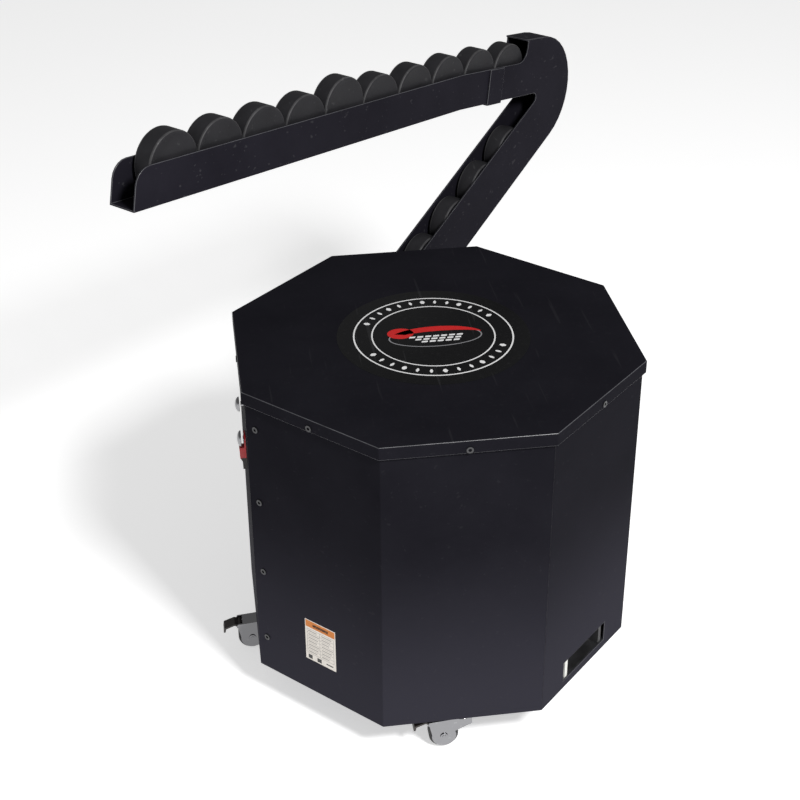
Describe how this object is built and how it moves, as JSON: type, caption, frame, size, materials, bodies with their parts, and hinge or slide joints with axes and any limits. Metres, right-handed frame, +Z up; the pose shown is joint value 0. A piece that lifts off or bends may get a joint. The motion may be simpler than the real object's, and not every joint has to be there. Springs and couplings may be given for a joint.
{
  "type": "hockey puck passing machine",
  "caption": "Eight-sided cabinet on casters that shoots hockey pucks from a low slot, fed by a bent gravity chute loaded with pucks.",
  "frame": {"origin": "centre of the base plate's underside", "axes": "+Z up through the lid, +X out of the cabinet's right panel, -Y out of the front panel"},
  "size_m": [0.6749, 0.7963, 0.7919],
  "materials": {
    "cabinet_coat": "satin black powder coat",
    "chute_coat": "satin black powder coat, slightly lighter",
    "zinc_steel": "zinc-plated steel",
    "bright_chrome": "bright chrome plate",
    "wheel_rubber": "hard black rubber",
    "pedal_plastic": "moulded dark plastic",
    "red_plastic": "moulded red plastic",
    "drive_rubber": "grippy black rubber",
    "puck_rubber": "vulcanised black rubber with knurled rim",
    "motor_shell": "dark painted steel",
    "box_plastic": "moulded grey-black plastic",
    "rail_plastic": "white low-friction plastic"
  },
  "bodies": {
    "root": {"base_plate": "cabinet_coat", "battery_pack": "box_plastic", "chute_arm": "chute_coat", "chute_near_plate": "chute_coat", "chute_wall": "chute_coat", "control_box": "box_plastic", "control_panel": "cabinet_coat", "drive_belt": "drive_rubber", "drive_motor": "motor_shell", "drop_chute": "zinc_steel", "feed_motor": "motor_shell", "front_skin": "cabinet_coat", "guide_rail": "rail_plastic", "inlet_flange": "cabinet_coat", "inner_frame": "zinc_steel", "isolator_boss": "bright_chrome", "lid": "cabinet_coat", "motor_bridge": "zinc_steel", "outlet_guide": "rail_plastic", "panel_screw_1": "zinc_steel", "panel_screw_2": "zinc_steel", "panel_screw_3": "zinc_steel", "panel_screw_4": "zinc_steel", "puck_10": "puck_rubber", "puck_deck": "zinc_steel", "puck_lower_1": "puck_rubber", "puck_lower_2": "puck_rubber", "puck_lower_3": "puck_rubber", "puck_lower_4": "puck_rubber", "rear_skin": "cabinet_coat", "right_skin": "cabinet_coat", "tray_saddle": "chute_coat"},
    "tray": {"chute_tray": "chute_coat", "puck_01": "puck_rubber", "puck_02": "puck_rubber", "puck_03": "puck_rubber", "puck_04": "puck_rubber", "puck_05": "puck_rubber", "puck_06": "puck_rubber", "puck_07": "puck_rubber", "puck_08": "puck_rubber", "puck_09": "puck_rubber"},
    "caster_front": {"caster_front_fork": "bright_chrome"},
    "caster_front_roller": {"caster_front_wheel": "wheel_rubber"},
    "caster_front_brake": {"caster_front_pedal": "pedal_plastic"},
    "caster_left": {"caster_left_fork": "bright_chrome"},
    "caster_left_roller": {"caster_left_wheel": "wheel_rubber"},
    "caster_left_brake": {"caster_left_pedal": "pedal_plastic"},
    "caster_rear": {"caster_rear_fork": "bright_chrome"},
    "caster_rear_roller": {"caster_rear_wheel": "wheel_rubber"},
    "caster_rear_brake": {"caster_rear_pedal": "pedal_plastic"},
    "caster_right": {"caster_right_fork": "bright_chrome"},
    "caster_right_roller": {"caster_right_wheel": "wheel_rubber"},
    "caster_right_brake": {"caster_right_pedal": "pedal_plastic"},
    "button": {"push_button": "bright_chrome"},
    "lever": {"isolator_lever": "red_plastic"},
    "drive": {"drive_spindle": "zinc_steel", "drive_tyre": "drive_rubber"},
    "motor_shaft": {"motor_pulley": "zinc_steel"},
    "feeder": {"feed_star": "rail_plastic"}
  },
  "joints": [
    {"name": "tray_slide", "type": "slide", "parent": "root", "child": "tray", "axis": [-0.6976, -0.6976, 0.1633], "range_m": [0, 0.06]},
    {"name": "caster_front_swivel", "type": "hinge", "parent": "root", "child": "caster_front", "pos_m": [0, -0.23, -0.005], "axis": [0, 0, 1], "continuous": true},
    {"name": "caster_front_roll", "type": "hinge", "parent": "caster_front", "child": "caster_front_roller", "pos_m": [-0.023, -0.23, -0.031], "axis": [0, 1, 0], "continuous": true},
    {"name": "caster_front_pedal", "type": "hinge", "parent": "caster_front", "child": "caster_front_brake", "pos_m": [-0.0395, -0.23, -0.012], "axis": [0, -1, 0], "range_deg": [0, 14]},
    {"name": "caster_left_swivel", "type": "hinge", "parent": "root", "child": "caster_left", "pos_m": [-0.23, 0, -0.005], "axis": [0, 0, 1], "continuous": true},
    {"name": "caster_left_roll", "type": "hinge", "parent": "caster_left", "child": "caster_left_roller", "pos_m": [-0.253, 0, -0.031], "axis": [0, 1, 0], "continuous": true},
    {"name": "caster_left_pedal", "type": "hinge", "parent": "caster_left", "child": "caster_left_brake", "pos_m": [-0.2695, 0, -0.012], "axis": [0, -1, 0], "range_deg": [0, 14]},
    {"name": "caster_rear_swivel", "type": "hinge", "parent": "root", "child": "caster_rear", "pos_m": [0, 0.23, -0.005], "axis": [0, 0, 1], "continuous": true},
    {"name": "caster_rear_roll", "type": "hinge", "parent": "caster_rear", "child": "caster_rear_roller", "pos_m": [-0.023, 0.23, -0.031], "axis": [0, 1, 0], "continuous": true},
    {"name": "caster_rear_pedal", "type": "hinge", "parent": "caster_rear", "child": "caster_rear_brake", "pos_m": [-0.0395, 0.23, -0.012], "axis": [0, -1, 0], "range_deg": [0, 14]},
    {"name": "caster_right_swivel", "type": "hinge", "parent": "root", "child": "caster_right", "pos_m": [0.23, 0, -0.005], "axis": [0, 0, 1], "continuous": true},
    {"name": "caster_right_roll", "type": "hinge", "parent": "caster_right", "child": "caster_right_roller", "pos_m": [0.207, 0, -0.031], "axis": [0, 1, 0], "continuous": true},
    {"name": "caster_right_pedal", "type": "hinge", "parent": "caster_right", "child": "caster_right_brake", "pos_m": [0.1905, 0, -0.012], "axis": [0, -1, 0], "range_deg": [0, 14]},
    {"name": "button_push", "type": "slide", "parent": "root", "child": "button", "axis": [1, 0, 0], "range_m": [0, 0.003], "stiffness_N_per_m": 300},
    {"name": "isolator_turn", "type": "hinge", "parent": "root", "child": "lever", "pos_m": [-0.2475, -0.05, 0.321], "axis": [1, 0, 0], "range_deg": [0, 90]},
    {"name": "drive_spin", "type": "hinge", "parent": "root", "child": "drive", "pos_m": [0.08556, 0.07142, 0.05], "axis": [0, 0, 1], "continuous": true},
    {"name": "motor_spin", "type": "hinge", "parent": "root", "child": "motor_shaft", "pos_m": [0.15768, 0.00919, 0.05], "axis": [0, 0, 1], "continuous": true},
    {"name": "feeder_spin", "type": "hinge", "parent": "root", "child": "feeder", "pos_m": [-0.14354, 0.03323, 0.026], "axis": [0, 0, 1], "continuous": true}
  ],
  "couplings": [
    {"joint": "motor_spin", "follows": "drive_spin", "ratio": 1.5714}
  ]
}
